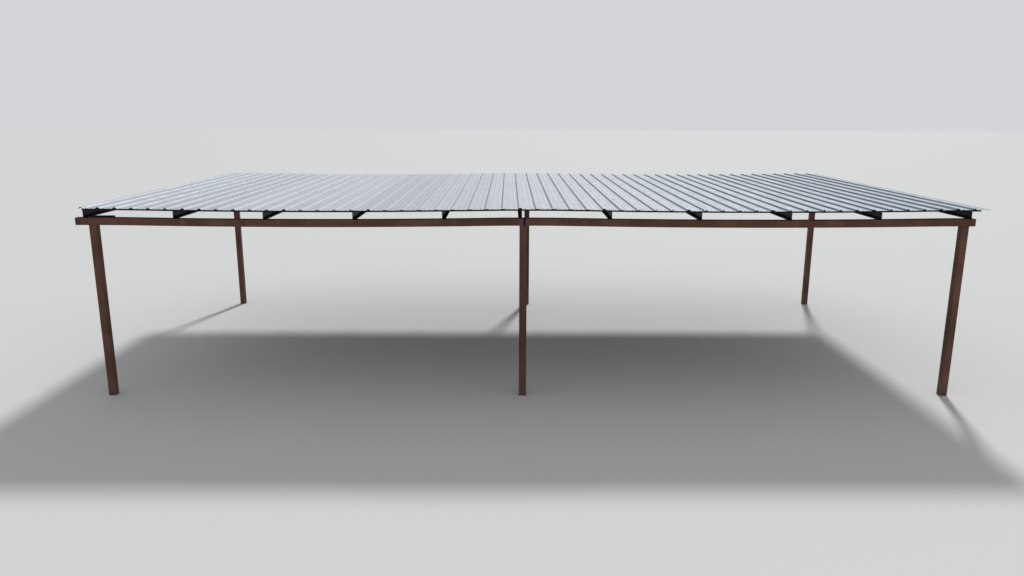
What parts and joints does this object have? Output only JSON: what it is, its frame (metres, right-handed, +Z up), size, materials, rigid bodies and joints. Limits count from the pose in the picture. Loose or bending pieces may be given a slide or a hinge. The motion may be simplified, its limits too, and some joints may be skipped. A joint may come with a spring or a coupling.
{
  "type": "open carport",
  "caption": "Open carport: square tube posts and slightly sagging beams carry channel purlins, battens and a flat roof of ribbed steel sheets.",
  "frame": {"origin": "on the ground, under the middle of the whole outline", "axes": "+X along the front to the right, +Y from the front to the back, +Z up"},
  "size_m": [12.364, 6.096, 2.6883],
  "materials": {
    "frame_paint": "weathered brown primer with light rust",
    "purlin_paint": "dark primer, matt",
    "roof_steel": "bare coated steel sheet, dulled"
  },
  "bodies": {
    "root": {"front_left_post": "frame_paint", "front_centre_post": "frame_paint", "front_right_post": "frame_paint", "rear_left_post": "frame_paint", "rear_centre_post": "frame_paint", "rear_right_post": "frame_paint", "front_beam_left": "frame_paint", "front_beam_right": "frame_paint", "rear_beam_left": "frame_paint", "rear_beam_right": "frame_paint", "purlin_01": "purlin_paint", "purlin_02": "purlin_paint", "purlin_03": "purlin_paint", "purlin_04": "purlin_paint", "purlin_05": "purlin_paint", "purlin_06": "purlin_paint", "purlin_07": "purlin_paint", "purlin_08": "purlin_paint", "purlin_09": "purlin_paint", "purlin_10": "purlin_paint", "purlin_11": "purlin_paint", "batten_1": "purlin_paint", "batten_2": "purlin_paint", "batten_3": "purlin_paint", "batten_4": "purlin_paint", "batten_5": "purlin_paint", "batten_6": "purlin_paint", "roof_sheet_01": "roof_steel", "roof_sheet_02": "roof_steel", "roof_sheet_03": "roof_steel", "roof_sheet_04": "roof_steel", "roof_sheet_05": "roof_steel", "roof_sheet_06": "roof_steel", "roof_sheet_07": "roof_steel", "roof_sheet_08": "roof_steel", "roof_sheet_09": "roof_steel", "roof_sheet_10": "roof_steel", "roof_sheet_11": "roof_steel", "roof_sheet_12": "roof_steel", "roof_sheet_13": "roof_steel", "roof_sheet_14": "roof_steel"}
  },
  "joints": []
}
